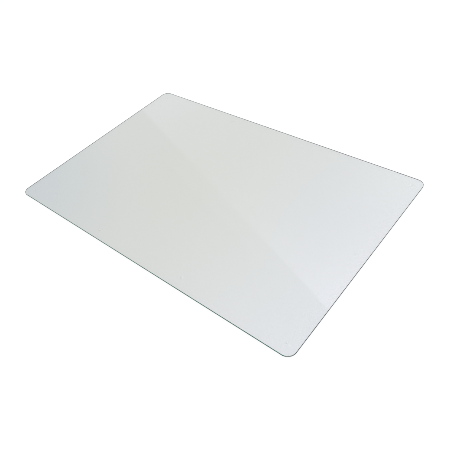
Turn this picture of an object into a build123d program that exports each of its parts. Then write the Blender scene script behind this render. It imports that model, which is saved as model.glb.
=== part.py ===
"""Glass office chair mat: one toughened glass sheet that stands on clear self-adhesive bumpers.

Millimetres, +Z up. The origin is on the floor, under the middle of the mat. X runs along the long
side and Y along the short side. The front is -Y, and left is -X.
"""

from build123d import *

import os

os.makedirs("parts", exist_ok=True)

# Glass sheet: 60 x 40 in float glass, ground and polished all round and then toughened
LENGTH = 1524.0
WIDTH = 1016.0
THICKNESS = 6.0
CORNER_RADIUS = 35.0
ARRIS = 0.8  # leg of the 45 degree bevel that takes the sharpness off both rims

# Bumpers: cast clear polyurethane, each a little narrower at the floor than at the glass
BUMPER_DIAMETER = 12.7
BUMPER_FOOT_DIAMETER = 11.5
BUMPER_HEIGHT = 3.5
BUMPER_ROUND = 0.8
EDGE_INSET = 45.0  # from the glass edge to the middle of the outer bumpers

# Adhesive: the clear acrylic film between each bumper and the glass
ADHESIVE_DIAMETER = 12.3
ADHESIVE_THICKNESS = 0.15

# Heights of the stack, from the floor up
ADHESIVE_LEVEL = BUMPER_HEIGHT
GLASS_LEVEL = ADHESIVE_LEVEL + ADHESIVE_THICKNESS

# Bumper grid, evenly spaced so that no caster rolls far from a support
COLUMNS = ("left", "centre_left", "centre_right", "right")
ROWS = ("front", "middle", "rear")
COLUMN_PITCH = (LENGTH - 2 * EDGE_INSET) / (len(COLUMNS) - 1)
ROW_PITCH = (WIDTH - 2 * EDGE_INSET) / (len(ROWS) - 1)


def grid_places():
    """Yields the name ending and the place of each bumper, from the front left to the rear right."""
    for row, row_name in enumerate(ROWS):
        for column, column_name in enumerate(COLUMNS):
            x = EDGE_INSET - LENGTH / 2 + column * COLUMN_PITCH
            y = EDGE_INSET - WIDTH / 2 + row * ROW_PITCH
            yield f"{row_name}_{column_name}", (x, y)


# Glass sheet: rounded corners, flat edges and an arris on both rims
with BuildPart() as glass_sheet:
    with BuildSketch(Plane.XY.offset(GLASS_LEVEL)):
        RectangleRounded(LENGTH, WIDTH, CORNER_RADIUS)
    extrude(amount=THICKNESS)
    rims = glass_sheet.faces().filter_by(Axis.Z).edges()
    chamfer(rims, length=ARRIS)

glass_sheet.part.label = "glass_sheet"
export_step(glass_sheet.part, "parts/glass_sheet.step")

for ending, place in grid_places():
    # Adhesive film: a thin disc on the underside of the glass
    with BuildPart() as adhesive:
        with BuildSketch(Plane.XY.offset(ADHESIVE_LEVEL)):
            with Locations(place):
                Circle(ADHESIVE_DIAMETER / 2)
        extrude(amount=ADHESIVE_THICKNESS)

    adhesive.part.label = f"adhesive_{ending}"
    export_step(adhesive.part, f"parts/{adhesive.part.label}.step")

    # Bumper: a shallow cone with its wide end up, and a round edge about its flat foot
    with BuildPart() as bumper:
        with BuildSketch(Plane.XY):
            with Locations(place):
                Circle(BUMPER_FOOT_DIAMETER / 2)
        with BuildSketch(Plane.XY.offset(BUMPER_HEIGHT)):
            with Locations(place):
                Circle(BUMPER_DIAMETER / 2)
        loft()
        foot = bumper.faces().sort_by(Axis.Z)[0]
        fillet(foot.edges(), radius=BUMPER_ROUND)

    bumper.part.label = f"bumper_{ending}"
    export_step(bumper.part, f"parts/{bumper.part.label}.step")
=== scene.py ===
"""Looks of a glass office chair mat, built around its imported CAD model.

Metres, +Z up, in the CAD frame: X runs along the long side, Y along the short side, and the floor is
z = 0. The glass, the bumpers and their adhesive films are remodelled here at the CAD's own sizes, with
finer arcs, eased edges and the faint waves of toughened glass. A pale floor and a soft studio sky go
with them.
"""

import math

import bpy
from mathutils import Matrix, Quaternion, Vector


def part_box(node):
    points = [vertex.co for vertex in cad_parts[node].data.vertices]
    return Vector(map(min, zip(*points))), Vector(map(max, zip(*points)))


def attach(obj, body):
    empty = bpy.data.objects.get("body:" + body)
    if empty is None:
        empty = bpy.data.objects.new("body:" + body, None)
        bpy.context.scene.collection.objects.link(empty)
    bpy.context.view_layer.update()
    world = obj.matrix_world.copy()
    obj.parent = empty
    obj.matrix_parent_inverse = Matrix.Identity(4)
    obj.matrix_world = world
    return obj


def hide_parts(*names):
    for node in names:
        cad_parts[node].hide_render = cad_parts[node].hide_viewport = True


MM = 0.001

# Glass sheet. Its length, width and levels come from the CAD box.
CORNER_RADIUS = 35.0 * MM
ARRIS = 0.8 * MM
ARRIS_EASE = 0.25 * MM  # radius that softens the two edges of each arris
ARC_STEPS = 24  # mesh steps round a quarter circle
GRID_PITCH = 22.0 * MM  # mesh pitch of the broad faces, fine enough for the roller waves
WAVE_HEIGHT = 0.03 * MM  # the rollers of the toughening furnace leave waves across the sheet
WAVE_LENGTH = 290.0 * MM
WAVE_DRIFT = 0.6  # radians by which the waves wander along X
WAVE_WANDER = 2.1  # radians of that wandering from the middle of the sheet to a long edge
BOW_HEIGHT = 0.10 * MM
GLASS_CRISP = 8.0  # degrees between two faces from which the line between them stays crisp
LEVEL_FACE = 0.9  # a face whose normal rises less than this belongs to the edge

# Bumpers and the adhesive films over them. Their places and levels come from the CAD boxes.
SUPPORT_ROWS = ("front", "middle", "rear")
SUPPORT_COLUMNS = ("left", "centre_left", "centre_right", "right")
BUMPER_FOOT_RADIUS = 5.75 * MM
BUMPER_FOOT_ROUND = 0.8 * MM
BUMPER_TOP_ROUND = 0.15 * MM
FILM_BULGE = 0.05 * MM  # how far the squeezed film bows out at its rim
AIR_GAP = 0.015 * MM  # keeps touching clear pieces apart, so that each face is drawn once
TURN_STEPS = 48  # mesh steps round the axis
FLAT_SHARES = (0.0, 0.35, 0.7)  # rings on a flat end, as shares of its radius
FOOT_STEPS = 8
FLANK_STEPS = 5
BRIM_STEPS = 4
FILM_STEPS = 6
SUPPORT_CRISP = 35.0  # degrees, as for the glass

# Clear materials: refractive indices and linear colours
GLASS_IOR = 1.52
POLYURETHANE_IOR = 1.49
ACRYLIC_IOR = 1.47
GREEN_DEPTH = (0.04, 0.53, 0.20)
GREEN_DENSITY = 10.0
CLEAN_GLASS = (0.868, 0.856, 0.853)
HAZY_GLASS = (0.865, 0.853, 0.850)
SMOOTHEST_GLASS = 0.005  # roughness
HAZE_ROUGHNESS = 0.03
RIPPLE_HEIGHT = 0.01 * MM
CLEAR_PLASTIC = (0.99, 0.99, 0.98)
CLOUDED_PLASTIC = (0.95, 0.95, 0.91)
CLEAR_FILM = (0.985, 0.985, 0.975)
BUBBLE = (0.93, 0.93, 0.92)
FILM_ROUGHNESS = 0.08
BUBBLE_ROUGHNESS = 0.25
BUBBLE_HEIGHT = 0.03 * MM
GRAIN_HEIGHT = 0.02 * MM  # of the wheel lines on the edge and of the bumpers' skin

# Ground edge: each colour pair is for two kinds of patch along it. Which colour shows is painted by the way
# the edge faces: painted shade, a painted green glow, or a painted corner highlight.
EDGE_CLEARNESS = 0.10
EDGE_MIRROR = 0.25  # how strongly it mirrors, 0.5 being usual
# near-black: partly the ground edge's own colour, partly painted shade for the short edges and for the view
# from inside the glass, with random patches
DARK_EDGE_PAINTED_SHADE = ((0.007, 0.018, 0.016), (0.012, 0.024, 0.022))
# painted glow: the long edges' sea green stands in for light that has crossed the sheet the short way, with
# random patches
GREEN_EDGE_PAINTED_GLOW = ((0.002, 0.110, 0.075), (0.004, 0.140, 0.100))
# painted highlight where the rounded corners would catch the light
CORNER_PAINTED_HIGHLIGHT = (0.26, 0.30, 0.28)

# Bumpers and films: seen in full from elevations up to the first, as an outline from the second
FULL_TO, OUTLINE_FROM = 14.0, 29.0
# painted rim shade: a faint grey tint where bumpers and films turn edge-on, fading to clear inside the
# outline
OUTLINE_PAINTED_SHADE = (0.90, 0.92, 0.91)
INSIDE_OUTLINE = (0.996, 0.998, 0.996)

# Floor: the grey that takes light, the light it gives, and what the camera sees of it on top
FLOOR_HALF = 40.0
FLOOR_GREY = 0.20
FLOOR_GLOW = 0.63
FLOOR_LIFT = 0.155

# Camera, as a tripod and a lens: where it aims on the glass, from where, and its tilt
AIM_X, AIM_Y = 0.1518, -0.1842
CAMERA_AZIMUTH = 47.322
CAMERA_ELEVATION = 44.735
CAMERA_DISTANCE = 2.0524
CAMERA_ROLL = -10.288
LENS_MM = 39.564
SENSOR_MM = 36.0
LENS_SHIFT = 1 / 30

# Studio light: places in the sky as (azimuth, elevation) in degrees, and linear colours
ROOM_LIGHT = 1.145
ROOM_COLOUR = (0.882, 0.895, 0.924)
HORIZON_SHARE = 0.62  # of the room's colour, low down
HORIZON_FADE = (4.0, 28.0)  # elevations
# Soft lights and shades: place, degrees where the fade starts and ends, colour (below zero darkens)
GLOWS = {
    "window": ((180.0, 72.8), (4.0, 45.0), (1.88, 1.88, 2.90)),
    "fill": ((20.0, 55.0), (10.0, 60.0), (0.45, 0.45, 0.45)),
    "dim_corner": ((250.0, 34.6), (0.0, 12.0), (-0.54, -0.35, -0.12)),
    "bright_corner": ((192.0, 37.0), (0.0, 12.0), (0.36, 0.45, 0.50)),
    "far_wall": ((229.0, 27.0), (0.0, 7.5), (0.05, 0.07, 0.12)),
    "warm_patch": ((226.0, 44.0), (3.0, 17.0), (0.0, 0.0, -0.20)),
    "shade": ((210.0, 45.5), (0.0, 9.0), (-0.20, -0.17, -0.06)),
    "high_shade": ((214.0, 59.5), (0.0, 8.0), (-0.20, -0.07, -0.17)),
}
# A light panel with a straight edge and a faint rail beside it. The fades are in degrees.
PANEL_SIDE = (159.34, -25.06)  # the edge lies in the plane square to this direction
PANEL_ALONG = (101.3, 48.46)  # and runs this way along that plane
PANEL_COLOUR = (0.95, 0.93, 1.12)
PANEL_FOOT_FADE = (12.0, 26.0)  # elevations
PANEL_EDGE_FADE = (-0.15, 0.35)
PANEL_STRENGTH = 0.14
NEAR_END_FADE, NEAR_END_EXTRA = (1.0, 10.0), 0.10
FAR_END_FADE, FAR_END_EXTRA = (11.0, 34.0), 0.50
RAIL_START, RAIL_END = (4.0, 8.0), (22.0, 27.0)
RAIL_EDGE_FADE = (-2.2, -1.6)
RAIL_STRENGTH = 0.07

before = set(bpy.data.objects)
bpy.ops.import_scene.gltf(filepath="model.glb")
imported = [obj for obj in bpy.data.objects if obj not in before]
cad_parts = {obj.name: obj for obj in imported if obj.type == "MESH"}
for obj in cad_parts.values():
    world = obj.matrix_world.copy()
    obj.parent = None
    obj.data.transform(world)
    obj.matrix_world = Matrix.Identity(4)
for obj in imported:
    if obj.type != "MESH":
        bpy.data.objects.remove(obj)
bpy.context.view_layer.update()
GLASS_LOW, GLASS_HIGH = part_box("glass_sheet")


# ---------------------------------------------------------------- node helpers


def new_tree(owner):
    """Empties the owner's node tree and returns it."""
    owner.use_nodes = True
    owner.node_tree.nodes.clear()
    return owner.node_tree


def join(tree, source, socket):
    """Links a socket, or sets a plain value, into an input socket."""
    if isinstance(source, bpy.types.NodeSocket):
        tree.links.new(source, socket)
    else:
        socket.default_value = source


def maths(tree, operation, *inputs):
    """The number that a maths node makes of numbers or sockets."""
    node = tree.nodes.new("ShaderNodeMath")
    node.operation = operation
    for source, socket in zip(inputs, node.inputs):
        join(tree, source, socket)
    return node.outputs[0]


def vector_maths(tree, operation, *inputs):
    """The vector, or for a dot product the number, that a vector maths node makes of its inputs."""
    node = tree.nodes.new("ShaderNodeVectorMath")
    node.operation = operation
    for source, socket in zip(inputs, node.inputs):
        join(tree, source, socket)
    return node.outputs["Value" if operation == "DOT_PRODUCT" else "Vector"]


def lean(tree, one, other):
    """How far two unit vectors lie along each other, from 0 to 1, whichever way each points."""
    return maths(tree, "ABSOLUTE", vector_maths(tree, "DOT_PRODUCT", one, other))


def ramp(tree, value, low, high, at_low=0.0, at_high=1.0):
    """Eases from at_low to at_high while value goes from low to high, and stays level outside that."""
    node = tree.nodes.new("ShaderNodeMapRange")
    node.interpolation_type = "SMOOTHSTEP"
    join(tree, value, node.inputs["Value"])
    node.inputs["From Min"].default_value = low
    node.inputs["From Max"].default_value = high
    node.inputs["To Min"].default_value = at_low
    node.inputs["To Max"].default_value = at_high
    return node.outputs["Result"]


def blend(tree, amount, low, high):
    """Mixes two colours by an amount from 0 to 1."""
    node = tree.nodes.new("ShaderNodeMix")
    node.data_type = "RGBA"
    join(tree, amount, node.inputs["Factor"])
    for colour, socket in ((low, node.inputs[6]), (high, node.inputs[7])):
        join(tree, colour if isinstance(colour, bpy.types.NodeSocket) else (*colour, 1), socket)
    return node.outputs[2]


def places(tree, stretch=(1.0, 1.0, 1.0)):
    """The shaded point's place in metres, stretched per axis."""
    here = tree.nodes.new("ShaderNodeTexCoord").outputs["Object"]
    return vector_maths(tree, "MULTIPLY", here, stretch)


def mottle(tree, where, scale, detail=3.0):
    """Soft noise from about 0 to 1, with scale blotches to the metre."""
    node = tree.nodes.new("ShaderNodeTexNoise")
    join(tree, where, node.inputs["Vector"])
    node.inputs["Scale"].default_value = scale
    node.inputs["Detail"].default_value = detail
    return node.outputs["Fac"]


def relief(tree, height, distance):
    """A bump whose height input of 1 stands distance metres above 0."""
    node = tree.nodes.new("ShaderNodeBump")
    join(tree, height, node.inputs["Height"])
    node.inputs["Distance"].default_value = distance
    node.inputs["Strength"].default_value = 1.0
    return node.outputs["Normal"]


def sine(degrees):
    return math.sin(math.radians(degrees))


# ---------------------------------------------------------------- materials


def clear_surface(name, ior, clearness=1.0):
    """(material, its tree, its shader) of a see-through solid."""
    mat = bpy.data.materials.new(name)
    tree = new_tree(mat)
    out = tree.nodes.new("ShaderNodeOutputMaterial")
    body = tree.nodes.new("ShaderNodeBsdfPrincipled")
    body.inputs["Transmission Weight"].default_value = clearness
    body.inputs["IOR"].default_value = ior
    tree.links.new(body.outputs[0], out.inputs["Surface"])
    return mat, tree, body


def output_of(tree):
    return next(node for node in tree.nodes if node.type == "OUTPUT_MATERIAL")


def add_green_depth(tree):
    """Soda-lime glass darkens to green by the length of the light's path inside it."""
    depth = tree.nodes.new("ShaderNodeVolumeAbsorption")
    depth.inputs["Color"].default_value = (*GREEN_DEPTH, 1)
    depth.inputs["Density"].default_value = GREEN_DENSITY
    tree.links.new(depth.outputs[0], output_of(tree).inputs["Volume"])


def thin_from_above(tree, body):
    """Clear soft plastic all but vanishes from above, against the floor it touches: only its outline is
    left, faintly, as a painted rim shade where the surface turns edge-on. From beside it shows in full."""
    shape = tree.nodes.new("ShaderNodeNewGeometry").outputs
    slope = lean(tree, shape["Incoming"], (0.0, 0.0, 1.0))
    beside = ramp(tree, slope, sine(FULL_TO), sine(OUTLINE_FROM), 1.0, 0.0)
    # Painted rim shade: the see-through tint greys where the surface turns edge-on to the view.
    inside = ramp(tree, lean(tree, shape["Incoming"], shape["Normal"]), 0.05, 0.5)
    outline = tree.nodes.new("ShaderNodeBsdfTransparent")
    join(tree, blend(tree, inside, OUTLINE_PAINTED_SHADE, INSIDE_OUTLINE), outline.inputs[0])
    both = tree.nodes.new("ShaderNodeMixShader")
    join(tree, beside, both.inputs["Fac"])
    tree.links.new(outline.outputs[0], both.inputs[1])
    tree.links.new(body.outputs[0], both.inputs[2])
    tree.links.new(both.outputs[0], output_of(tree).inputs["Surface"])


def glass_material():
    """Clean glass, with a breath of haze where a cloth has wiped it and a faint furnace ripple."""
    mat, tree, body = clear_surface("toughened_glass", GLASS_IOR)
    swirl = mottle(tree, places(tree), 5.0)
    wiped = mottle(tree, places(tree, (1.0, 3.5, 1.0)), 11.0, 4.0)
    haze = ramp(tree, maths(tree, "MULTIPLY", swirl, wiped), 0.20, 0.38)
    roughness = maths(tree, "MULTIPLY_ADD", haze, HAZE_ROUGHNESS, SMOOTHEST_GLASS)
    ripple = mottle(tree, places(tree), 14.0, 1.0)
    join(tree, blend(tree, haze, CLEAN_GLASS, HAZY_GLASS), body.inputs["Base Color"])
    join(tree, roughness, body.inputs["Roughness"])
    join(tree, relief(tree, ripple, RIPPLE_HEIGHT), body.inputs["Normal"])
    add_green_depth(tree)
    return mat


def edge_material():
    """Ground and polished glass, with fine lines left by the wheel along the edge. Its colours are painted
    light chosen by the way the edge faces: the long edges are painted sea green, a painted glow standing in
    for light that has crossed the sheet the short way, the short ones almost black with painted shade, and
    the rounded corners between them get a painted highlight where they would catch the light. Seen from
    inside the glass, all of it takes the near-black painted shade."""
    mat, tree, body = clear_surface("ground_edge", GLASS_IOR, EDGE_CLEARNESS)
    shape = tree.nodes.new("ShaderNodeNewGeometry").outputs
    along = lean(tree, shape["Normal"], (1.0, 0.0, 0.0))
    across = lean(tree, shape["Normal"], (0.0, 1.0, 0.0))
    # Seen from inside the glass the edge takes only the near-black painted shade, with no painted glow or
    # highlight.
    outside = maths(tree, "SUBTRACT", 1.0, shape["Backfacing"])
    # Painted light by facing: edges facing along Y get the painted green glow, the others the near-black
    # painted shade.
    long_edge = maths(tree, "MULTIPLY", ramp(tree, across, 0.45, 0.98), outside)
    # Painted highlight on the rounded corners, strongest where the edge faces halfway between X and Y.
    corner = maths(tree, "MULTIPLY", ramp(tree, maths(tree, "MULTIPLY", along, across), 0.1, 0.5), outside)
    lines = mottle(tree, places(tree, (0.01, 0.01, 1.0)), 3200.0, 4.0)
    patches = mottle(tree, places(tree), 160.0)
    worn = maths(tree, "MULTIPLY", lines, patches)
    # The wheel lines and patches are real wear and random tone; the shade and the green glow mixed here are
    # painted light.
    dark = blend(tree, patches, *DARK_EDGE_PAINTED_SHADE)
    green = blend(tree, patches, *GREEN_EDGE_PAINTED_GLOW)
    flat = blend(tree, long_edge, dark, green)
    join(tree, blend(tree, corner, flat, CORNER_PAINTED_HIGHLIGHT), body.inputs["Base Color"])
    join(tree, ramp(tree, worn, 0.10, 0.45, 0.24, 0.38), body.inputs["Roughness"])
    join(tree, relief(tree, lines, GRAIN_HEIGHT), body.inputs["Normal"])
    join(tree, maths(tree, "MULTIPLY", outside, EDGE_MIRROR), body.inputs["Specular IOR Level"])
    add_green_depth(tree)
    return mat


def bumper_material():
    """Cast clear polyurethane with a satin skin, a few specks of cloud and slight ageing."""
    mat, tree, body = clear_surface("clear_polyurethane", POLYURETHANE_IOR)
    cloud = mottle(tree, places(tree), 420.0)
    skin = mottle(tree, places(tree), 2600.0, 5.0)
    join(tree, blend(tree, cloud, CLEAR_PLASTIC, CLOUDED_PLASTIC), body.inputs["Base Color"])
    join(tree, ramp(tree, skin, 0.3, 0.7, 0.06, 0.20), body.inputs["Roughness"])
    join(tree, relief(tree, skin, GRAIN_HEIGHT), body.inputs["Normal"])
    thin_from_above(tree, body)
    return mat


def adhesive_material():
    """Clear acrylic film with small trapped bubbles."""
    mat, tree, body = clear_surface("clear_adhesive", ACRYLIC_IOR)
    cells = tree.nodes.new("ShaderNodeTexVoronoi")
    join(tree, places(tree), cells.inputs["Vector"])
    cells.inputs["Scale"].default_value = 900.0
    bubble = ramp(tree, cells.outputs["Distance"], 0.12, 0.22, 1.0, 0.0)
    roughness = maths(tree, "MULTIPLY_ADD", bubble, BUBBLE_ROUGHNESS, FILM_ROUGHNESS)
    join(tree, blend(tree, bubble, CLEAR_FILM, BUBBLE), body.inputs["Base Color"])
    join(tree, roughness, body.inputs["Roughness"])
    join(tree, relief(tree, bubble, BUBBLE_HEIGHT), body.inputs["Normal"])
    thin_from_above(tree, body)
    return mat


def floor_material():
    """Grey that glows: the glow keeps it pale under the glass and leaves hardly any shadow. The camera
    gets a little more light straight from it, so that around the mat it stays plain white."""
    mat = bpy.data.materials.new("pale_floor")
    tree = new_tree(mat)
    out = tree.nodes.new("ShaderNodeOutputMaterial")
    matt = tree.nodes.new("ShaderNodeBsdfDiffuse")
    matt.inputs["Color"].default_value = (FLOOR_GREY, FLOOR_GREY, FLOOR_GREY, 1)
    light = tree.nodes.new("ShaderNodeEmission")
    seen = tree.nodes.new("ShaderNodeLightPath").outputs["Is Camera Ray"]
    join(tree, maths(tree, "MULTIPLY_ADD", seen, FLOOR_LIFT, FLOOR_GLOW), light.inputs["Strength"])
    both = tree.nodes.new("ShaderNodeAddShader")
    tree.links.new(matt.outputs[0], both.inputs[0])
    tree.links.new(light.outputs[0], both.inputs[1])
    tree.links.new(both.outputs[0], out.inputs["Surface"])
    return mat


# ---------------------------------------------------------------- pieces


def smooth_solid(name, vertices, faces, crisp_from):
    """An object shaded smooth, but for the lines where faces meet at crisp_from degrees or more."""
    mesh = bpy.data.meshes.new(name)
    mesh.from_pydata(vertices, [], faces)
    mesh.validate()
    for polygon in mesh.polygons:
        polygon.use_smooth = True
    mesh.set_sharp_from_angle(angle=math.radians(crisp_from))
    solid = bpy.data.objects.new(name, mesh)
    bpy.context.scene.collection.objects.link(solid)
    return solid


def stand_in(solid, node):
    """Puts a finished piece in the place of its CAD node."""
    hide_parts(node)
    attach(solid, "root")


# ---------------------------------------------------------------- glass


def glass_rows():
    """(y, half width) of each mesh row across the sheet, as its outline narrows round the corners."""
    half_x = (GLASS_HIGH.x - GLASS_LOW.x) / 2 - ARRIS
    half_y = (GLASS_HIGH.y - GLASS_LOW.y) / 2 - ARRIS
    radius = CORNER_RADIUS - ARRIS
    straight = half_y - radius
    steps = max(1, round(2 * straight / GRID_PITCH))
    arc = [math.radians(90) * i / ARC_STEPS for i in range(ARC_STEPS, 0, -1)]
    corner = [(straight + radius * math.sin(a), half_x - radius + radius * math.cos(a)) for a in arc]
    rows = [(-y, half) for y, half in corner]
    rows += [(-straight + 2 * straight * i / steps, half_x) for i in range(steps + 1)]
    rows += reversed(corner)
    return rows


def outward(x, y):
    """The outline's outward normal next to a point of the face's rim."""
    centre_x = (GLASS_HIGH.x - GLASS_LOW.x) / 2 - CORNER_RADIUS
    centre_y = (GLASS_HIGH.y - GLASS_LOW.y) / 2 - CORNER_RADIUS
    beyond = Vector((max(abs(x) - centre_x, 0.0), max(abs(y) - centre_y, 0.0)))
    if beyond.x > 0 and beyond.y > 0:
        way = beyond.normalized()
    else:
        way = Vector((1, 0)) if beyond.x > beyond.y else Vector((0, 1))
    return Vector((math.copysign(way.x, x), math.copysign(way.y, y)))


def eased(corner, before, after):
    """Three points that round off a profile's corner by ARRIS_EASE."""
    into = (corner - before).normalized()
    away = (after - corner).normalized()
    turn = into.angle(away)
    reach = ARRIS_EASE * math.tan(turn / 2)
    start, end = corner - into * reach, corner + away * reach
    lift = ARRIS_EASE * (1 / math.cos(turn / 2) - 1)
    middle = corner - (corner - (start + end) / 2).normalized() * lift
    return [start, middle, end]


def edge_profile():
    """(outward offset, height) down the edge, from the top face's rim to the bottom face's rim."""
    top, bottom = GLASS_HIGH.z, GLASS_LOW.z
    points = [Vector(p) for p in (
        (-CORNER_RADIUS, top),
        (0.0, top),
        (ARRIS, top - ARRIS),
        (ARRIS, bottom + ARRIS),
        (0.0, bottom),
        (-CORNER_RADIUS, bottom),
    )]
    profile = []
    for before, corner, after in zip(points, points[1:], points[2:]):
        profile += eased(corner, before, after)
    return profile


def wave(x, y):
    """Height of the sheet over a true plane: a slight bow and the roller waves."""
    half_x, half_y = GLASS_HIGH.x, GLASS_HIGH.y
    bow = BOW_HEIGHT * (1 - (x / half_x) ** 2) * (1 - (y / half_y) ** 2)
    drift = WAVE_DRIFT * math.sin(WAVE_WANDER * y / half_y)
    return bow + WAVE_HEIGHT * math.sin(2 * math.pi * x / WAVE_LENGTH + drift) - WAVE_HEIGHT


def build_glass():
    rows = glass_rows()
    columns = round((GLASS_HIGH.x - GLASS_LOW.x) / GRID_PITCH)
    profile = edge_profile()
    inner = profile[0].x
    vertices, faces = [], []

    def face_grid(height):
        """Adds the points of one broad face and returns their numbers, row by row."""
        grid = []
        for y, half in rows:
            line = []
            for i in range(columns + 1):
                x = half * (2 * i / columns - 1)
                line.append(len(vertices))
                vertices.append((x, y, height))
            grid.append(line)
        return grid

    top = face_grid(GLASS_HIGH.z)
    bottom = face_grid(GLASS_LOW.z)
    for grid, flip in ((top, False), (bottom, True)):
        for low, high in zip(grid, grid[1:]):
            for i in range(columns):
                quad = (low[i], low[i + 1], high[i + 1], high[i])
                faces.append(quad[::-1] if flip else quad)

    def rim(grid):
        """The face's rim as a loop of vertex numbers, anticlockwise from above."""
        right = [line[-1] for line in grid]
        left = [line[0] for line in grid]
        return grid[0][:-1] + right[:-1] + grid[-1][:0:-1] + left[:0:-1]

    # The rims move in to where the eased arris starts, and the edge is laid round in loops from there.
    top_rim, bottom_rim = rim(top), rim(bottom)
    spots = [(vertices[i][0], vertices[i][1]) for i in top_rim]
    normals = [outward(x, y) for x, y in spots]
    for (x, y), normal, upper, lower in zip(spots, normals, top_rim, bottom_rim):
        vertices[upper] = (x + normal.x * inner, y + normal.y * inner, GLASS_HIGH.z)
        vertices[lower] = (x + normal.x * inner, y + normal.y * inner, GLASS_LOW.z)

    loops = [top_rim]
    for offset, height in profile[1:-1]:
        loop = []
        for (x, y), normal in zip(spots, normals):
            loop.append(len(vertices))
            vertices.append((x + normal.x * offset, y + normal.y * offset, height))
        loops.append(loop)
    loops.append(bottom_rim)
    count = len(top_rim)
    for upper, lower in zip(loops, loops[1:]):
        for i in range(count):
            j = (i + 1) % count
            faces.append((upper[i], lower[i], lower[j], upper[j]))

    waved = [(x, y, z + wave(x, y)) for x, y, z in vertices]
    sheet = smooth_solid("glass_sheet_fine", waved, faces, GLASS_CRISP)
    sheet.data.materials.append(glass_material())
    sheet.data.materials.append(edge_material())
    for polygon in sheet.data.polygons:
        polygon.material_index = int(abs(polygon.normal.z) < LEVEL_FACE)
    stand_in(sheet, "glass_sheet")


# ---------------------------------------------------------------- bumpers and adhesive films


def rounded(centre, radius, start, end, steps):
    """Points along an arc of a profile, from the start to the end angle in degrees."""
    angles = [math.radians(start + (end - start) * i / steps) for i in range(steps + 1)]
    return [centre + Vector((radius * math.cos(a), radius * math.sin(a))) for a in angles]


def turned(name, profile, middle, material):
    """A closed turned solid about an upright axis. Its (radius, height) profile runs from the axis at
    the foot, round the outside, to the axis at the top."""
    rings = profile[1:-1]
    vertices = [(middle.x, middle.y, profile[0].y)]
    for radius, height in rings:
        for i in range(TURN_STEPS):
            turn = 2 * math.pi * i / TURN_STEPS
            vertices.append((middle.x + radius * math.cos(turn), middle.y + radius * math.sin(turn), height))
    vertices.append((middle.x, middle.y, profile[-1].y))
    last = len(vertices) - 1
    faces = []
    for i in range(TURN_STEPS):
        j = (i + 1) % TURN_STEPS
        faces.append((0, 1 + j, 1 + i))
        for ring in range(len(rings) - 1):
            low, high = 1 + ring * TURN_STEPS, 1 + (ring + 1) * TURN_STEPS
            faces.append((low + i, low + j, high + j, high + i))
        start = 1 + (len(rings) - 1) * TURN_STEPS
        faces.append((start + i, start + j, last))
    solid = smooth_solid(name, vertices, faces, SUPPORT_CRISP)
    solid.data.materials.append(material)
    return solid


def bumper_profile(low, high):
    """A shallow cone, wide end up, with a round foot and a slightly softened top edge."""
    half = (high.x - low.x) / 2
    foot, top = low.z + AIR_GAP, high.z
    foot_centre = Vector((BUMPER_FOOT_RADIUS - BUMPER_FOOT_ROUND, foot + BUMPER_FOOT_ROUND))
    top_centre = Vector((half - BUMPER_TOP_ROUND, top - BUMPER_TOP_ROUND))
    flat = [Vector((foot_centre.x * share, foot)) for share in FLAT_SHARES]
    lid = [Vector((top_centre.x * share, top)) for share in reversed(FLAT_SHARES)]
    skirt = rounded(foot_centre, BUMPER_FOOT_ROUND, -90, 0, FOOT_STEPS)
    brim = rounded(top_centre, BUMPER_TOP_ROUND, 0, 90, BRIM_STEPS)
    flank = [skirt[-1].lerp(brim[0], i / FLANK_STEPS) for i in range(1, FLANK_STEPS)]
    return flat + skirt + flank + brim + lid


def film_profile(low, high):
    """A thin film that fills the space up to the wavy glass, with a rim that bows out where the glass
    has squeezed it."""
    half = (high.x - low.x) / 2 - FILM_BULGE
    lift = wave((low.x + high.x) / 2, (low.y + high.y) / 2)
    foot, top = low.z + AIR_GAP, high.z + lift - AIR_GAP
    flat = [Vector((half * share, foot)) for share in FLAT_SHARES]
    lid = [Vector((half * share, top)) for share in reversed(FLAT_SHARES)]
    turns = [math.radians(-90 + 180 * i / FILM_STEPS) for i in range(FILM_STEPS + 1)]
    middle, reach = (top + foot) / 2, (top - foot) / 2
    rim = [Vector((half + FILM_BULGE * math.cos(a), middle + reach * math.sin(a))) for a in turns]
    return flat + rim + lid


def build_supports():
    """A bumper and its adhesive film in place of each pair of CAD nodes."""
    soft, tacky = bumper_material(), adhesive_material()
    kinds = (
        ("bumper", bumper_profile, soft, "clear_polyurethane"),
        ("adhesive", film_profile, tacky, "clear_adhesive"),
    )
    for row in SUPPORT_ROWS:
        for column in SUPPORT_COLUMNS:
            for kind, shape, material, slot in kinds:
                node = f"{kind}_{row}_{column}"
                low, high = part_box(node)
                solid = turned(f"{node}_fine", shape(low, high), (low + high) / 2, material)
                stand_in(solid, node)


# ---------------------------------------------------------------- stage


def build_floor():
    mesh = bpy.data.meshes.new("floor")
    corners = [(x * FLOOR_HALF, y * FLOOR_HALF, 0) for x, y in ((-1, -1), (1, -1), (1, 1), (-1, 1))]
    mesh.from_pydata(corners, [], [(0, 1, 2, 3)])
    floor = bpy.data.objects.new("floor", mesh)
    bpy.context.scene.collection.objects.link(floor)
    floor.data.materials.append(floor_material())


def toward(azimuth, elevation):
    """Unit vector towards a place in the sky. Azimuth 0 is -Y, and +X is at 90."""
    around, up = math.radians(azimuth), math.radians(elevation)
    return Vector((math.sin(around) * math.cos(up), -math.cos(around) * math.cos(up), math.sin(up)))


def glow(tree, way, centre, full, reach):
    """1 within full degrees of the centre, fading to 0 at reach degrees from it."""
    angle = maths(tree, "ARCCOSINE", vector_maths(tree, "DOT_PRODUCT", way, toward(*centre)))
    return ramp(tree, angle, math.radians(full), math.radians(reach), 1.0, 0.0)


def past(tree, way, side, low, high):
    """Fades in from low to high degrees past the plane that is square to side."""
    slant = vector_maths(tree, "DOT_PRODUCT", way, toward(*side))
    return ramp(tree, slant, sine(low), sine(high))


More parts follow.
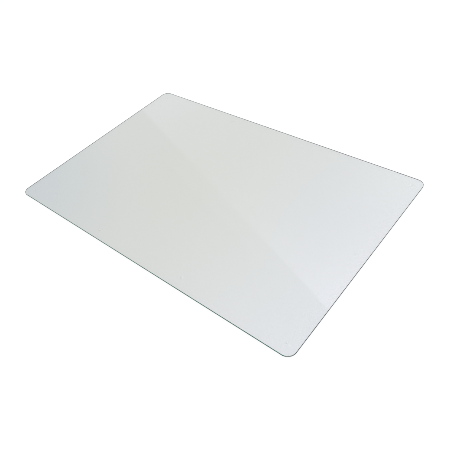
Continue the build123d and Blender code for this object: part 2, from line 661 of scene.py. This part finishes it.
def build_world():
    """Even pale light on everything, and for the glass to mirror a room of its own: darker near the
    horizon, with the lights and shades of GLOWS, a straight-edged panel and a faint rail beside it."""
    world = bpy.data.worlds.new("studio")
    bpy.context.scene.world = world
    tree = new_tree(world)
    out = tree.nodes.new("ShaderNodeOutputWorld")
    way = tree.nodes.new("ShaderNodeTexCoord").outputs["Generated"]
    height = vector_maths(tree, "DOT_PRODUCT", way, (0.0, 0.0, 1.0))
    horizon_low, horizon_high = HORIZON_FADE
    sky = ramp(tree, height, sine(horizon_low), sine(horizon_high), HORIZON_SHARE, 1.0)
    total = vector_maths(tree, "MULTIPLY", sky, ROOM_COLOUR)

    def add(amount, colour):
        return vector_maths(tree, "ADD", total, vector_maths(tree, "MULTIPLY", amount, colour))

    for place, (full, reach), colour in GLOWS.values():
        total = add(glow(tree, way, place, full, reach), colour)

    foot_low, foot_high = PANEL_FOOT_FADE
    above = ramp(tree, height, sine(foot_low), sine(foot_high))
    near_end = maths(tree, "SUBTRACT", 1.0, past(tree, way, PANEL_ALONG, *NEAR_END_FADE))
    far_end = past(tree, way, PANEL_ALONG, *FAR_END_FADE)
    strength = maths(tree, "MULTIPLY_ADD", near_end, NEAR_END_EXTRA, PANEL_STRENGTH)
    strength = maths(tree, "MULTIPLY_ADD", far_end, FAR_END_EXTRA, strength)
    panel = maths(tree, "MULTIPLY", past(tree, way, PANEL_SIDE, *PANEL_EDGE_FADE), above)
    total = add(maths(tree, "MULTIPLY", panel, strength), PANEL_COLOUR)

    started = past(tree, way, PANEL_ALONG, *RAIL_START)
    ended = past(tree, way, PANEL_ALONG, *RAIL_END)
    rail = maths(tree, "SUBTRACT", started, ended)
    rail = maths(tree, "MULTIPLY", rail, past(tree, way, PANEL_SIDE, *RAIL_EDGE_FADE))
    rail = maths(tree, "MULTIPLY", rail, above)
    total = add(maths(tree, "MULTIPLY", rail, RAIL_STRENGTH), PANEL_COLOUR)

    mirrored = tree.nodes.new("ShaderNodeBackground")
    tree.links.new(total, mirrored.inputs["Color"])
    plain = tree.nodes.new("ShaderNodeBackground")
    plain.inputs["Color"].default_value = (1, 1, 1, 1)
    plain.inputs["Strength"].default_value = ROOM_LIGHT
    rays = tree.nodes.new("ShaderNodeLightPath").outputs
    lit = maths(tree, "MAXIMUM", rays["Is Camera Ray"], maths(tree, "MINIMUM", rays["Diffuse Depth"], 1.0))
    both = tree.nodes.new("ShaderNodeMixShader")
    tree.links.new(lit, both.inputs["Fac"])
    tree.links.new(mirrored.outputs[0], both.inputs[1])
    tree.links.new(plain.outputs[0], both.inputs[2])
    tree.links.new(both.outputs[0], out.inputs["Surface"])


def build_camera():
    data = bpy.data.cameras.new("camera")
    data.lens = LENS_MM
    data.sensor_width = SENSOR_MM
    data.shift_x = LENS_SHIFT
    camera = bpy.data.objects.new("camera", data)
    bpy.context.scene.collection.objects.link(camera)
    back = toward(CAMERA_AZIMUTH, CAMERA_ELEVATION)
    aim = Vector((AIM_X, AIM_Y, GLASS_HIGH.z))
    camera.location = aim + back * CAMERA_DISTANCE
    level = (-back).to_track_quat("-Z", "Y")
    camera.rotation_mode = "QUATERNION"
    camera.rotation_quaternion = level @ Quaternion((0, 0, 1), math.radians(CAMERA_ROLL))
    bpy.context.scene.camera = camera


def set_view():
    """Plain colours, enough bounces for light that is caught in the glass, and crisp thin edges."""
    scene = bpy.context.scene
    scene.view_settings.view_transform = "Standard"
    scene.cycles.max_bounces = 128
    scene.cycles.transmission_bounces = 128
    scene.cycles.glossy_bounces = 16
    scene.cycles.min_light_bounces = 32
    scene.cycles.blur_glossy = 0.0
    scene.cycles.filter_width = 0.85


build_glass()
build_supports()
build_floor()
build_world()
build_camera()
set_view()
